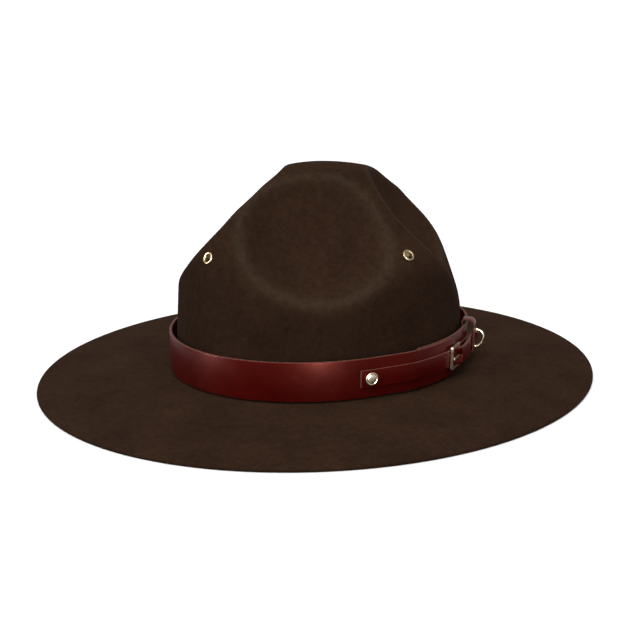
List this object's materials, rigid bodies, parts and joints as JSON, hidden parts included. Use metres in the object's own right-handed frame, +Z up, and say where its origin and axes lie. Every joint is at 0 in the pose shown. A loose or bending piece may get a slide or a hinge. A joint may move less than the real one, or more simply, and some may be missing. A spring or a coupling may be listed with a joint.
{
  "type": "campaign hat",
  "caption": "Stiff felt campaign hat with a wide flat brim, dented peaked crown, eyelets and a leather band with a buckled strap, stud, keeper and swinging ring.",
  "frame": {"origin": "centre of the ground rectangle, on the surface that the brim's edge rests on", "axes": "+Z up, -Y towards the front of the hat, +X towards the wearer's left"},
  "size_m": [0.3428, 0.38, 0.1359],
  "materials": {
    "felt": "matt felt",
    "leather": "polished",
    "brass": "polished",
    "dark_brass": "darkened"
  },
  "bodies": {
    "hat": {"felt_body": "felt", "hat_band": "leather", "billet_strap": "leather", "chape_strap": "leather", "keeper_loop": "leather", "stud": "brass", "buckle_frame": "brass", "buckle_tongue": "brass", "eyelet_front": "dark_brass", "eyelet_left": "dark_brass", "eyelet_rear": "dark_brass", "eyelet_right": "dark_brass"},
    "ring": {"d_ring": "brass"}
  },
  "joints": [
    {"name": "d_ring_swing", "type": "hinge", "parent": "hat", "child": "ring", "pos_m": [0.07221, 0.06952, 0.02195], "axis": [0.2498, 0.1819, 0.9511], "range_deg": [-50, 75]}
  ]
}
